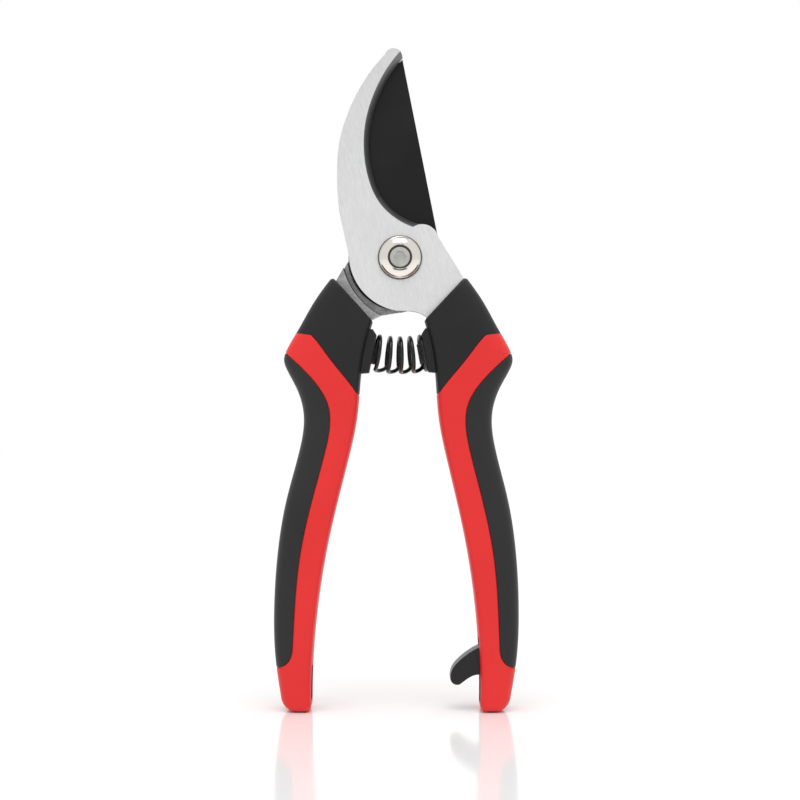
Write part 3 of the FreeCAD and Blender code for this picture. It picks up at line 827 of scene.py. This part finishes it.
@dataclass
class HandleShape:
    """The surface of a handle as stations down its length and a ring round each.

    A station is a line between the inner and the outer edge of the front view.  The
    ring is b from 0 at the middle of the inner wall, over the front, to 1 at the
    middle of the outer wall, and below 0 over the back.
    """

    outer: Points = (
        COLLAR_OUTER, (26.3, -13.5), (31.4, -22.7), (34.7, -28.6), (35.85, -32.5), (34.7, -35.9),
        (31.5, -41.9), (29.3, -50.0), (30.35, -60.5), (34.35, -76.7), (37.1, -95.7), (37.8, -111.5),
        (37.1, -127.3), (35.2, -139.2),
    )
    inner: Points = (
        COLLAR_INNER, (9.8, -27.0), (11.4, -38.0), (12.3, -50.0), (15.0, -64.1), (20.75, -89.4),
        (24.5, -116.0), (25.4, -132.0), (25.4, -141.8),
    )
    toe: tuple[float, float] = (33.8, -142.3)
    heel: tuple[float, float] = (25.986, -143.214)
    levels: Points = (
        (-5.85, -19.8), (-13.0, -21.8), (-21.0, -25.4), (-29.5, -31.2), (-40.0, -40.6), (-60.0, -60.2),
        (-90.0, -90.0), (-120.0, -120.0), (-143.8, -143.8),
    )
    collar_line: Points = (
        (44.0, -22.2), (28.6, -23.5), (22.0, -30.8), (13.6, -41.0), (9.0, -46.8), (0.0, -57.0),
    )
    grip_line: Points = (
        (38.0, -28.1), (28.8, -36.1), (24.3, -41.2), (21.4, -46.6), (20.7, -52.5), (21.9, -60.5),
        (25.3, -74.1), (29.5, -94.3), (31.1, -114.7), (31.4, -122.8), (31.8, -126.0), (33.1, -128.2),
        (36.4, -129.8), (44.0, -131.8),
    )
    stations: int = 420
    trial_stations: int = 2400
    line_share: float = 0.22
    half_depth: float = 8.5
    half_width: float = 9.5
    table_size: int = 4001
    setback: float = 1.5
    inner_power: float = 7.0
    outer_power: float = 3.4
    end_round: float = 2.6
    top_round: float = 0.7
    collar_reach: float = 0.2
    even_table: tuple[np.ndarray, np.ndarray, np.ndarray] = field(init=False)

    def __post_init__(self) -> None:
        """Work out the edge paths, the ring table and the lines' places on the rings."""
        toe = arc(self.outer[-1], self.toe, FOOT_OUTER, 40)
        heel = arc(self.inner[-1], self.heel, FOOT_INNER, 20)
        outer = np.concatenate([through(self.outer, 600), toe[1:]])
        inner = np.concatenate([through(self.inner, 600), heel[1:]])
        angle = np.linspace(0.0, math.pi, self.table_size)
        cosine, sine = -np.cos(angle), np.sin(angle)
        power = 2.0 / np.where(cosine < 0, self.inner_power, self.outer_power)
        share, rise = np.sign(cosine) * np.abs(cosine) ** power, np.abs(sine) ** power
        steps = np.hypot(np.diff(share) * self.half_width, np.diff(rise) * self.half_depth)
        reach = np.concatenate([[0.0], np.cumsum(steps)])
        self.even_table = (reach / reach[-1], share, rise)
        level = through(self.levels, self.trial_stations)
        self.place_stations(outer, inner, level)
        turns = np.abs(np.diff(self.collar_edge)) + np.abs(np.diff(self.grip_edge))
        steps = 1.0 / self.trial_stations + self.line_share * turns
        pace = np.concatenate([[0.0], np.cumsum(steps)])
        wanted = np.linspace(0.0, pace[-1], self.stations)
        chosen = np.stack([np.interp(wanted, pace, height) for height in level.T], axis=1)
        self.place_stations(outer, inner, chosen)

    def place_stations(self, outer: np.ndarray, inner: np.ndarray, level: np.ndarray) -> None:
        """Lay the stations at some pairs of heights and find the lines on them.

        Args:
            outer: The outer edge's path.
            inner: The inner edge's path.
            level: The stations' outer and inner heights.
        """
        self.outer_path = at_height(outer, level[:, 0])
        self.inner_path = at_height(inner, level[:, 1])
        self.outer_path[-1], self.inner_path[-1] = FOOT_OUTER, FOOT_INNER
        self.collar_edge = self.crossing(through(self.collar_line, 500), True)
        self.grip_edge = self.crossing(through(self.grip_line, 900), False)

    def crossing(self, line: np.ndarray, collar: bool) -> np.ndarray:
        """Where a line of the front view crosses each station, as a place b on its ring.

        The line crosses where the cross product of the station's direction with the
        way to the line's points changes sign.

        Args:
            line: The line's points.
            collar: Whether stations after the last crossing are below the line.

        Returns:
            One b for each station, 1 where the line passes outside it.
        """
        run = self.outer_path - self.inner_path
        offset = line[None] - self.inner_path[:, None]
        product = run[:, None, 0] * offset[:, :, 1] - run[:, None, 1] * offset[:, :, 0]
        along = (offset * run[:, None]).sum(2) / (run * run).sum(1)[:, None]
        crosses = product[:, :-1] * product[:, 1:] <= 0
        first = crosses.argmax(1)
        row = np.arange(len(run))
        here, after = np.abs(product[row, first]), np.abs(product[row, first + 1])
        share = here / np.maximum(here + after, 1e-12)
        place = along[row, first] * (1 - share) + along[row, first + 1] * share
        below = row > len(row) * self.collar_reach
        missed = np.where(below, 0.0, 1.0) if collar else np.ones(len(row))
        place = np.clip(np.where(crosses.any(1), place, missed), 0.0, 1.0)
        ring, width, _ = self.even_table
        return np.interp(2 * place - 1, width, ring)

    def ends(self) -> tuple[np.ndarray, np.ndarray]:
        """How far the rings are drawn in towards each end of the handle, in millimetres.

        Near an end at distance u less than the rounding r, a ring is drawn in by
        r - sqrt(r^2 - (r - u)^2), a quarter circle.

        Returns:
            The drawing in at the collar's top and at the foot, one number a station.
        """
        middle = (self.outer_path + self.inner_path) / 2
        steps = np.linalg.norm(np.diff(middle, axis=0), axis=1)
        top = np.concatenate([[0.0], np.cumsum(steps)])
        height = middle[:, 1] - FOOT_INNER[1]
        drawn = []
        for distance, radius in ((top, self.top_round), (height, self.end_round)):
            inside = np.clip(radius - distance, 0.0, radius)
            drawn.append(radius - np.sqrt(radius**2 - inside**2))
        return drawn[0], drawn[1]

    def surface(self, ring: np.ndarray, shift: int = 0) -> np.ndarray:
        """Points on the handle at the places b of a ring, one row for each station.

        The point is inner + (outer - inner)(1 + s)/2 across and the half depth times
        f towards the front, where (s, f) is the superellipse |s|^n + |f|^n = 1.

        Args:
            ring: Places b, stations by columns; below 0 is the back.
            shift: How many stations farther down the points are to lie.

        Returns:
            Drawn points, stations by columns by three.
        """
        even_ring, share, rise = self.even_table
        across = np.interp(np.abs(ring), even_ring, share)
        depth = np.interp(np.abs(ring), even_ring, rise) * np.sign(ring)
        station = np.clip(np.arange(len(ring)) + shift, 0, len(self.outer_path) - 1)
        inner = self.inner_path[station]
        run = self.outer_path[station] - inner
        width = np.linalg.norm(run, axis=1)
        top, foot = [end[station] for end in self.ends()]
        across = across * (1 - 2 * top / width)[:, None]
        flat = inner[:, None] + run[:, None] * ((1 + across) / 2)[..., None]
        deep = depth * (self.half_depth - top - foot)[:, None] - self.setback
        return np.concatenate([flat, deep[..., None]], axis=2)


@dataclass
class Handle:
    """One handle: red core, black collar and soft grip."""

    side: Side
    shape: HandleShape
    groove_width: float = 0.45
    groove_depth: float = 0.32
    floor_depth: float = 0.8
    skin: float = 1.7
    ring_step: float = 0.003
    wall_middle: float = 1e-9
    hidden_columns: int = 9
    shown_columns: int = 45
    collar_columns: int = 90
    grip_columns: int = 50
    core_start: int = 8
    slot_across: tuple[float, float] = (18.0, 33.6)
    slot_half_width: float = 5.0

    @property
    def name(self) -> str:
        """The word that starts the names of the handle's pieces."""
        return self.side.name.lower()

    @property
    def body(self) -> str:
        """The body that the handle rides on."""
        return (Body.HOOK if self.side is Side.RIGHT else Body.BLADE).value

    def rounding(self, points: np.ndarray, lines: Sequence[np.ndarray]) -> np.ndarray:
        """How far a surface sinks near the grooves: d(1 - u/w)^2 within w of a line.

        Args:
            points: The surface, rows by columns by three.
            lines: The grooves' paths.

        Returns:
            Depths, rows by columns.
        """
        gap = np.min([gap_to(line, points) for line in lines], axis=0)
        return self.groove_depth * np.clip(1 - gap / self.groove_width, 0, 1) ** 2

    def seam(self, edge: np.ndarray) -> list[np.ndarray]:
        """The front and back paths of a line, without the stations that it misses.

        Args:
            edge: The line's place b at each station.

        Returns:
            The two paths.
        """
        met = (edge > 0.0) & (edge < 1.0)
        met |= np.roll(met, 1) | np.roll(met, -1)
        pair = self.shape.surface(np.stack([edge, -edge], axis=1))[met]
        return [pair[:, 0], pair[:, 1]]

    def finish_piece(
        self, what: str, points: np.ndarray, faces: np.ndarray, finish: Finish
    ) -> bpy.types.Object:
        """Place a piece, let it ride and let it stand for its CAD node.

        Args:
            what: The piece: core, collar or grip.
            points: Drawn points.
            faces: Triangles.
            finish: The finish.

        Returns:
            The object.
        """
        piece = make_piece(f"{self.name}_handle_{what}", to_frame(points, self.side), faces, finish)
        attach(piece, self.body)
        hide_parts(f"{self.name}_{what}")
        return piece

    def build_skin(self, what: str, ring: np.ndarray, finish: Finish) -> None:
        """A skin over part of the core: an outer sheet, an inner one and walls between.

        The outer sheet is the handle's surface, sunk at its edges; the inner one lies
        the skin's thickness below it along the normals.

        Args:
            what: The piece: collar or grip.
            ring: Places b of its columns, stations by columns, from edge to edge.
            finish: The finish.
        """
        base = self.shape.surface(ring)
        normal = self.inward(ring)
        lines = self.seam(self.shape.collar_edge if what == "collar" else self.shape.grip_edge)
        upper = base + normal * self.rounding(base, lines)[..., None]
        lower = base + normal * self.skin
        loop = np.concatenate([upper, lower[:, ::-1]], axis=1)
        rows, columns = loop.shape[:2]
        faces = [grid_faces(rows, columns, column_loop=True)]
        across = ring.shape[1]
        for row in (0, rows - 1):
            low = row * columns + np.arange(across - 1)
            high = row * columns + columns - 1 - np.arange(across - 1)
            faces += [np.stack([low, low + 1, high - 1], 1), np.stack([low, high - 1, high], 1)]
        piece = self.finish_piece(what, loop.reshape(-1, 3), np.concatenate(faces), finish)
        report(piece)

    def inward(self, ring: np.ndarray) -> np.ndarray:
        """Unit directions into the handle, square to its surface.

        The direction is the cross product of a step down the handle at one place b
        and a small step round the ring at one station.  At the middle of the outer
        wall, where front and back meet, it has no depth.

        Args:
            ring: Places b, stations by columns.

        Returns:
            Unit vectors that point inwards.
        """
        surface, small = self.shape.surface, self.ring_step
        down = surface(ring, 1) - surface(ring, -1)
        normal = np.cross(down, surface(ring + small) - surface(ring - small))
        normal[..., 2] = np.where(np.abs(ring) > 1 - self.wall_middle, 0.0, normal[..., 2])
        normal /= np.maximum(np.linalg.norm(normal, axis=2, keepdims=True), 1e-12)
        middle = (self.shape.outer_path + self.shape.inner_path) / 2
        centre = np.column_stack([middle, np.full(len(middle), -self.shape.setback)])[:, None]
        away = (normal * (centre - surface(ring))).sum(2, keepdims=True) < 0
        return np.where(away, -normal, normal)

    def build_core(self) -> None:
        """The red core: a ring of columns that sinks under the collar and the grip.

        A column that has no skin over it at a station stays at the surface there, so
        that no two columns stand on each other.  The core starts a little below the
        collar's top, and each end is closed by rings that shrink to its middle.
        """
        shape = self.shape
        collar = shape.collar_edge[:, None]
        grip = np.maximum(shape.grip_edge[:, None], collar)
        hidden = np.linspace(0.0, 1.0, self.hidden_columns)
        shown = (1 - np.cos(np.linspace(0.0, math.pi, self.shown_columns))) / 2
        half = np.concatenate(
            [collar * hidden, collar + (grip - collar) * shown, grip + (1 - grip) * hidden], axis=1
        )
        whole = collar >= 1.0
        parts = (
            (collar > 0.0, self.hidden_columns),
            (whole, self.shown_columns),
            ((grip < 1.0) | whole, self.hidden_columns),
        )
        sunk = np.concatenate([np.repeat(state, count, axis=1) for state, count in parts], axis=1)
        ring = np.concatenate([half, -half[:, ::-1]], axis=1)
        sunk = np.concatenate([sunk, sunk[:, ::-1]], axis=1)
        base = shape.surface(ring)
        normal = self.inward(ring)
        lines = self.seam(shape.collar_edge) + self.seam(shape.grip_edge)
        drop = np.where(sunk, self.floor_depth, self.rounding(base, lines))
        points = (base + normal * drop[..., None])[self.core_start :]
        rows, columns = points.shape[:2]
        caps = []
        for row in (0, -1):
            centre = points[row].mean(0)
            caps.append(np.stack([centre + (points[row] - centre) * share for share in (0.0, 0.5)]))
        closed = np.concatenate([caps[0], points, caps[1][::-1]])
        faces = grid_faces(len(closed), columns, column_loop=True)
        piece = self.finish_piece("core", closed.reshape(-1, 3), faces, RED_NYLON)
        self.cut_slot(piece)
        report(piece)

    def cut_slot(self, piece: bpy.types.Object) -> None:
        """Cut the slot through the inner wall over the foot.

        Args:
            piece: The core.
        """
        left, right = self.slot_across
        bottom, top = SLOT_HEIGHTS[self.side]
        near = -self.shape.setback + self.slot_half_width
        far = -self.shape.setback - self.slot_half_width
        ring = np.array([(left, bottom), (right, bottom), (right, top), (left, top)])
        walls = [np.column_stack([ring, np.full(4, depth)]) for depth in (far, near)]
        block = to_frame(np.concatenate(walls), self.side)
        sides = grid_faces(2, 4, column_loop=True)
        ends = np.array([(0, 1, 2), (0, 2, 3), (4, 5, 6), (4, 6, 7)])
        faces = np.concatenate([sides, ends])
        cutter = make_piece(f"{self.name}_slot_cutter", block, faces, RED_NYLON)
        cut = piece.modifiers.new("slot", "BOOLEAN")
        cut.operation = "DIFFERENCE"
        cut.solver = "EXACT"
        cut.object = cutter
        bpy.context.view_layer.update()
        cut_piece = piece.evaluated_get(bpy.context.evaluated_depsgraph_get())
        done = bpy.data.meshes.new_from_object(cut_piece)
        piece.modifiers.clear()
        piece.data = done
        bpy.data.objects.remove(cutter)
        done.shade_smooth()
        done.set_sharp_from_angle(angle=math.radians(38))

    def build(self) -> None:
        """Build the core and its two skins."""
        columns = -np.cos(np.linspace(0.0, math.pi, self.collar_columns))
        collar = self.shape.collar_edge[:, None] * columns
        share = (1 - np.cos(np.linspace(0.0, math.pi, self.grip_columns))) / 2
        grip = self.shape.grip_edge[:, None]
        front = grip + (1 - grip) * share
        round_grip = np.concatenate([front, -front[:, ::-1]], axis=1)
        self.build_core()
        self.build_skin("collar", collar, COLLAR_PLASTIC)
        self.build_skin("grip", round_grip, GRIP_RUBBER)


# ------------------------------------------------------------------------ spring
@dataclass
class ReturnSpring:
    """The coil spring between the handles, fanned out about a point over it."""

    fan_height: float = 11.0
    fan_radius: float = 41.8
    fan_angle: float = math.radians(9.85)
    coil_radius: float = 5.45
    wire_radius: float = 0.64
    turns: int = 4
    setback: float = 1.5
    end_lift: float = math.radians(0.7)
    closed_turn: float = 0.95
    line_points: int = 900
    ring_points: int = 20
    end_taper: float = 0.8
    step_start: float = 0.4
    step_end: float = 0.78
    lean: float = math.radians(0.8)

    def line(self, count: int) -> np.ndarray:
        """The middle line of the wire.

        At angle q round the coil the wire is at c + r(cos q e_depth + sin q e_out).
        The centre c stays at one place of the fan's arc for most of a turn and steps
        on to the next near the lowest point; each turn leans a little, by cos q, and
        the last half turns close on the seats.

        Args:
            count: How many points to return.

        Returns:
            Drawn points.
        """
        spare = self.closed_turn * math.pi
        swept = np.linspace(-spare, self.turns * math.tau + spare, count)
        turn = np.floor(swept / math.tau)
        phase = swept / math.pi - 2 * turn
        step = np.clip((phase - self.step_start) / (self.step_end - self.step_start), 0, 1)
        done = np.clip(turn + step * step * (3 - 2 * step), 0, self.turns)
        over = np.clip((np.abs(swept - self.turns * math.pi) - self.turns * math.pi) / spare, 0, 1)
        fan = self.fan_angle * (2 * done / self.turns - 1) + self.lean * np.cos(swept)
        fan = fan + self.end_lift * over * np.sign(swept)
        out = np.stack([np.sin(fan), -np.cos(fan)], axis=1)
        reach = self.fan_radius + self.coil_radius * np.sin(swept)
        flat = out * reach[:, None] + np.array([0.0, self.fan_height])
        depth = self.coil_radius * np.cos(swept) - self.setback
        return np.column_stack([flat, depth])

    def build(self) -> None:
        """Carry a round section along the wire's line and close its ends.

        The section is r(cos a n + sin a m), where n and m are square to the line.
        """
        line = self.line(self.line_points)
        along = np.gradient(line, axis=0)
        along /= np.linalg.norm(along, axis=1, keepdims=True)
        middle = np.array([0.0, self.fan_height - self.fan_radius, -self.setback])
        normal = np.cross(along, np.cross(line - middle, along))
        normal /= np.linalg.norm(normal, axis=1, keepdims=True)
        other = np.cross(along, normal)
        angle = np.linspace(0.0, math.tau, self.ring_points, endpoint=False)[None, :, None]
        ring = np.cos(angle) * normal[:, None] + np.sin(angle) * other[:, None]
        taper = np.ones(len(line))
        taper[[0, -1]] = 0.0
        taper[[1, -2]] = self.end_taper
        points = line[:, None] + self.wire_radius * taper[:, None, None] * ring
        faces = grid_faces(len(line), angle.size, column_loop=True)
        piece = make_piece("return_spring", to_frame(points), faces, SPRING_WIRE)
        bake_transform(piece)
        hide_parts("coil_spring")
        report(piece)


# ------------------------------------------------------------------------- blade
@dataclass
class CuttingBlade:
    """The coated blade, with its cutting edge ground on the back."""

    tip: tuple[float, float] = (0.8, 63.3)
    spine: tuple[float, float] = (12.1, 6.6)
    heel: Points = ((10.4, -12.7), (-4.0, -15.9))
    shoulder: Points = ((-14.2, -8.2), (-16.2, 2.4))
    edge: Points = (
        (-16.2, 2.4), (-15.2, 17.0), (-14.8, 26.5), (-13.7, 36.0), (-11.0, 45.2), (-6.4, 54.3),
        (-3.3, 59.2), (0.8, 63.3),
    )
    front: float = -0.05
    thickness: float = 3.0
    grind: float = 5.6
    edge_left: float = 0.3
    chamfer: float = 0.25
    bore: float = 5.6
    side_points: int = 120
    round_points: int = 60
    edge_points: int = 300
    grind_from: float = 12.0
    grind_run: float = 8.0
    grind_share: float = 0.46
    chamfer_share: float = 0.4
    least_chamfer: float = 0.02
    lip: float = 0.12
    lip_share: float = 0.3
    front_ease: float = 0.1
    tuck: float = 0.01

    def outline(self) -> np.ndarray:
        """The closed outline, from the tip down the spine and back up the edge."""
        spine = even(np.array([self.tip, self.spine]), self.side_points)
        heel = arc(self.spine, *self.heel, self.round_points)[1:]
        shoulder = arc(self.heel[1], *self.shoulder, self.round_points)[1:]
        edge = through(self.edge, self.edge_points)[1:-1]
        return np.concatenate([spine, heel, shoulder, edge])

    def build(self) -> None:
        """Carry a profile round the outline.

        The profile runs from the bore over the front to the outline, back along the
        wall, in over the grind, and over the back to the bore.  The grind's width is
        the full one, or a share of the way to the spine where the blade is narrow.
        """
        ring = self.outline()
        ahead = np.roll(ring, -1, axis=0) - np.roll(ring, 1, axis=0)
        inward = np.stack([ahead[:, 1], -ahead[:, 0]], axis=1)
        inward /= np.linalg.norm(inward, axis=1, keepdims=True)
        spine = np.array(self.spine) - np.array(self.tip)
        spine /= np.linalg.norm(spine)
        offset = ring - np.array(self.tip)
        room = np.abs(offset[:, 0] * spine[1] - offset[:, 1] * spine[0])
        on_edge = np.arange(len(ring)) >= len(ring) - (self.edge_points - 2)
        start = np.clip((ring[:, 1] - self.grind_from) / self.grind_run, 0, 1)
        full = self.grind * start * start * (3 - 2 * start)
        width = np.where(on_edge, np.minimum(full, self.grind_share * room), 0.0)
        ground = width > self.chamfer
        eased = self.chamfer_share * room + self.least_chamfer
        width = np.maximum(width, np.minimum(self.chamfer, eased))
        left = self.thickness - width * (self.thickness - self.edge_left) / self.grind
        whole = self.thickness - self.chamfer
        left = np.clip(np.where(ground, left, whole), self.edge_left, whole)
        bore = ring / np.linalg.norm(ring, axis=1, keepdims=True) * self.bore
        inner = ring + inward * width[:, None]
        back = self.front - self.thickness
        lip = ring + inward * np.minimum(self.lip, self.lip_share * room)[:, None]
        rows = [
            (bore, np.full(len(ring), self.front), 0.0),
            (lip, np.full(len(ring), self.front), 0.0),
            (ring, np.full(len(ring), self.front - self.front_ease), 0.0),
            (ring, self.front - left, 0.0),
            (ring + inward * self.tuck, self.front - left - self.tuck / 2, 1.0),
            (inner - inward * self.tuck, np.full(len(ring), back + self.tuck / 2), 1.0),
            (inner, np.full(len(ring), back), 0.0),
            (bore, np.full(len(ring), back), 0.0),
        ]
        points = np.stack([np.column_stack([flat, depth]) for flat, depth, _ in rows])
        faces = grid_faces(len(rows), len(ring), row_loop=True, column_loop=True)
        marks = np.stack([np.where(ground, mark, 0.0) for _, _, mark in rows]).astype(np.float32)
        piece = make_piece("ground_blade", to_frame(points), faces, BLADE_COAT, marks)
        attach(piece, Body.BLADE.value)
        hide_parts("cutting_blade")
        report(piece)


# --------------------------------------------------------------------- CAD nodes
@dataclass
class FrameNodes:
    """The CAD nodes that are shown as they are, each with its finish."""

    finishes: dict[str, Finish] = field(
        default_factory=lambda: {
            "hook_blade": BRUSHED,
            "blade_carrier": FORGED,
            "pivot_cap_nut": NICKEL,
            "pivot_bolt": ZINC,
            "pivot_washer": ZINC,
            "pivot_bush": BRONZE,
            "blade_screw_upper": ZINC,
            "blade_screw_lower": ZINC,
            "right_spring_seat": COLLAR_PLASTIC,
            "left_spring_seat": COLLAR_PLASTIC,
            "right_tang_pin_upper": PIN_STEEL,
            "right_tang_pin_lower": PIN_STEEL,
            "left_tang_pin_upper": PIN_STEEL,
            "left_tang_pin_lower": PIN_STEEL,
            "keeper_pin": PIN_STEEL,
            "catch_pin": PIN_STEEL,
            "catch_washer": ZINC,
            "catch_lever": BLACK_SHEET,
        }
    )
    rounded: dict[str, float] = field(
        default_factory=lambda: {
            "hook_blade": 0.3,
            "right_spring_seat": 0.5,
            "left_spring_seat": 0.5,
            "catch_lever": 0.2,
            "blade_carrier": 0.25,
        }
    )

    def dress(self) -> None:
        """Give each node its finish, and ease the edges of those that need it."""
        for name, finish in self.finishes.items():
            node = frame["nodes"][name]
            node.data.materials.clear()
            node.data.materials.append(finish.material())
            if name in self.rounded:
                self.ease(node, self.rounded[name] * MM)
            report(node)

    @staticmethod
    def ease(node: bpy.types.Object, width: float) -> None:
        """Round a node's edges with modifiers, which leave its own mesh alone.

        Args:
            node: The CAD node.
            width: The width of the rounding, in metres.
        """
        weld = node.modifiers.new("weld", "WELD")
        weld.merge_threshold = 0.00001
        bevel = node.modifiers.new("ease", "BEVEL")
        bevel.width = width
        bevel.segments = 3
        bevel.limit_method = "ANGLE"
        bevel.angle_limit = math.radians(40)
        bevel.use_clamp_overlap = True


# ------------------------------------------------------------------------ studio
@dataclass
class Studio:
    """Floor, light and camera."""

    view_width: float = 0.25304
    camera_height: float = 0.0987
    view_angle: float = math.radians(23.8)
    floor_size: float = 6.0
    sky: float = 0.9
    backdrop: float = 1.0
    lamp_power: float = 1.25
    lamp_angle: float = math.radians(40)
    lamp_lean: float = math.radians(20)
    card_half: float = 0.1
    cards: dict[str, tuple[tuple[float, float], tuple[float, float]]] = field(
        default_factory=lambda: {
            "floor_card": ((-0.55, 0.002), (-0.24, 0.002)),
            "raised_card": ((-0.62, 0.33), (-0.6, 0.5)),
        }
    )

    def build_floor(self) -> None:
        """A flat board under the shears, with z = 0 everywhere."""
        half = self.floor_size / 2
        span = np.linspace(-half, half, 3)
        across, deep = np.meshgrid(span, span)
        points = np.stack([across, deep, np.zeros_like(across)], axis=2)
        mesh = bpy.data.meshes.new("studio_floor")
        mesh.from_pydata(points.reshape(-1, 3), [], grid_faces(3, 3)[:, ::-1])
        mesh.materials.append(FLOOR.material())
        floor = bpy.data.objects.new("studio_floor", mesh)
        bpy.context.scene.collection.objects.link(floor)
        floor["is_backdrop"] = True

    def build_light(self) -> None:
        """A white room, a plain white backdrop in it, and a broad soft lamp overhead."""
        world = bpy.data.worlds.new("White room")
        world.use_nodes = True
        background = world.node_tree.nodes["Background"]
        background.inputs["Color"].default_value = (1.0, 1.0, 1.0, 1.0)
        seen = world.node_tree.nodes.new("ShaderNodeLightPath").outputs["Is Camera Ray"]
        level = world.node_tree.nodes.new("ShaderNodeMapRange")
        level.inputs["To Min"].default_value = self.sky
        level.inputs["To Max"].default_value = self.backdrop
        world.node_tree.links.new(seen, level.inputs["Value"])
        world.node_tree.links.new(level.outputs["Result"], background.inputs["Strength"])
        bpy.context.scene.world = world
        light = bpy.data.lights.new("overhead", "SUN")
        light.angle = self.lamp_angle
        light.energy = self.lamp_power
        lamp = bpy.data.objects.new("overhead", light)
        lamp.location = (0.0, 0.0, 1.0)
        lamp.rotation_euler = (self.lamp_lean, 0.0, 0.0)
        bpy.context.scene.collection.objects.link(lamp)

    def build_cards(self) -> None:
        """Two dark cards before the shears that only mirrors see, one low and one raised."""
        for name, (low, high) in self.cards.items():
            half = self.card_half
            corners = [(-half, *low), (half, *low), (half, *high), (-half, *high)]
            mesh = bpy.data.meshes.new(name)
            mesh.from_pydata(corners, [], [(0, 1, 2, 3)])
            mesh.materials.append(CARD.material())
            card = bpy.data.objects.new(name, mesh)
            card.visible_camera = card.visible_diffuse = card.visible_shadow = False
            bpy.context.scene.collection.objects.link(card)
            card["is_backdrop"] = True

    def build_camera(self) -> None:
        """A level camera in front, at the height of the middle of the view."""
        low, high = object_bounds()
        front = low[1] + 0.003
        camera = bpy.data.cameras.new("camera")
        camera.sensor_width = 36.0
        camera.lens = 18.0 / math.tan(self.view_angle / 2)
        distance = self.view_width / 2 / math.tan(self.view_angle / 2)
        stand = bpy.data.objects.new("camera", camera)
        stand.location = (PIVOT[0], front - distance, self.camera_height)
        stand.rotation_euler = (math.pi / 2, 0.0, 0.0)
        bpy.context.scene.collection.objects.link(stand)
        bpy.context.scene.camera = stand

    def build(self) -> None:
        """Build the floor, the light and the camera, with plain colour handling."""
        self.build_floor()
        self.build_light()
        self.build_cards()
        self.build_camera()
        bpy.context.scene.view_settings.view_transform = "Standard"


def main() -> None:
    """Build every piece in order."""
    logging.basicConfig(level=logging.INFO, format="%(name)s: %(message)s")
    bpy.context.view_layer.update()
    FrameNodes().dress()
    shape = HandleShape()
    for side in Side:
        Handle(side, shape).build()
    ReturnSpring().build()
    CuttingBlade().build()
    Studio().build()


if __name__ == "__main__":
    main()
